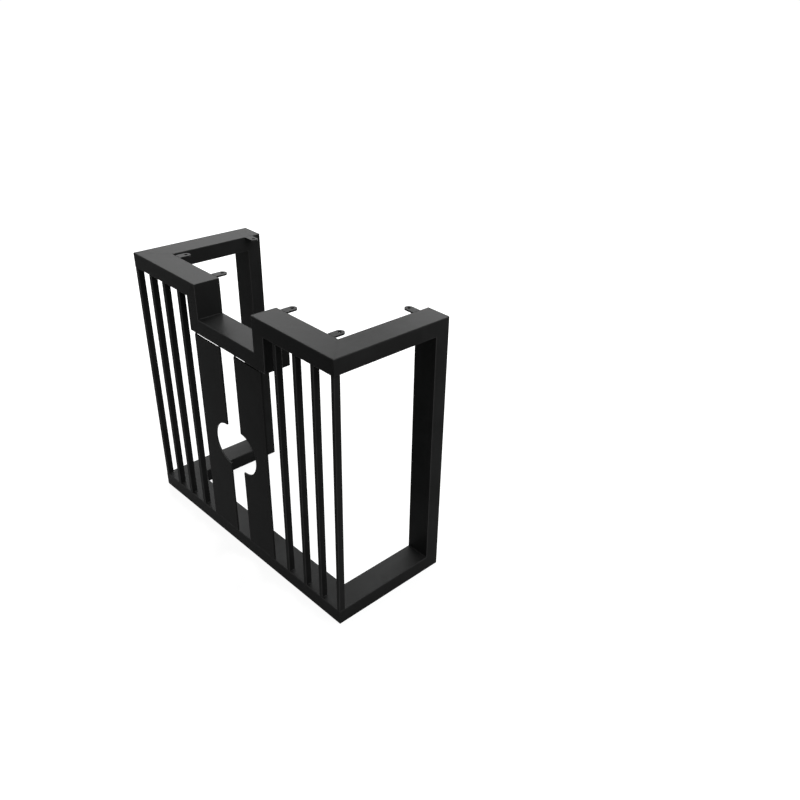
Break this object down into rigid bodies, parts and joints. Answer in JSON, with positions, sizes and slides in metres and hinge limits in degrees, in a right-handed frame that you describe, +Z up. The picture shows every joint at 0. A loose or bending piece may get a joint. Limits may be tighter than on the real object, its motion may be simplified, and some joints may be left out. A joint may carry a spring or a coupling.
{
  "type": "desk leg",
  "caption": "U-shaped welded steel desk leg in black: a frame of mitred tubes with upright bars, notched plates, a recessed top rail and screw tabs that hold a desk top.",
  "frame": {"origin": "on the floor, in the middle of the leg's footprint", "axes": "+Z up, +Y along the long outer side from front to rear, +X from the outer side towards the free ends of the arms"},
  "size_m": [0.335, 0.8, 0.72],
  "materials": {
    "black_powder_coat": "satin black powder coat on steel"
  },
  "bodies": {
    "root": {"base_rail": "black_powder_coat", "mid_rail": "black_powder_coat", "base_arm_front": "black_powder_coat", "post_front": "black_powder_coat", "top_arm_front": "black_powder_coat", "top_rail_front": "black_powder_coat", "drop_post_front": "black_powder_coat", "plate_front": "black_powder_coat", "bar_front_1": "black_powder_coat", "bar_front_2": "black_powder_coat", "bar_front_3": "black_powder_coat", "bar_front_4": "black_powder_coat", "tab_end_front": "black_powder_coat", "tab_corner_front": "black_powder_coat", "tab_arm_front": "black_powder_coat", "base_arm_rear": "black_powder_coat", "post_rear": "black_powder_coat", "top_arm_rear": "black_powder_coat", "top_rail_rear": "black_powder_coat", "drop_post_rear": "black_powder_coat", "plate_rear": "black_powder_coat", "bar_rear_1": "black_powder_coat", "bar_rear_2": "black_powder_coat", "bar_rear_3": "black_powder_coat", "bar_rear_4": "black_powder_coat", "tab_end_rear": "black_powder_coat", "tab_corner_rear": "black_powder_coat", "tab_arm_rear": "black_powder_coat"}
  },
  "joints": []
}
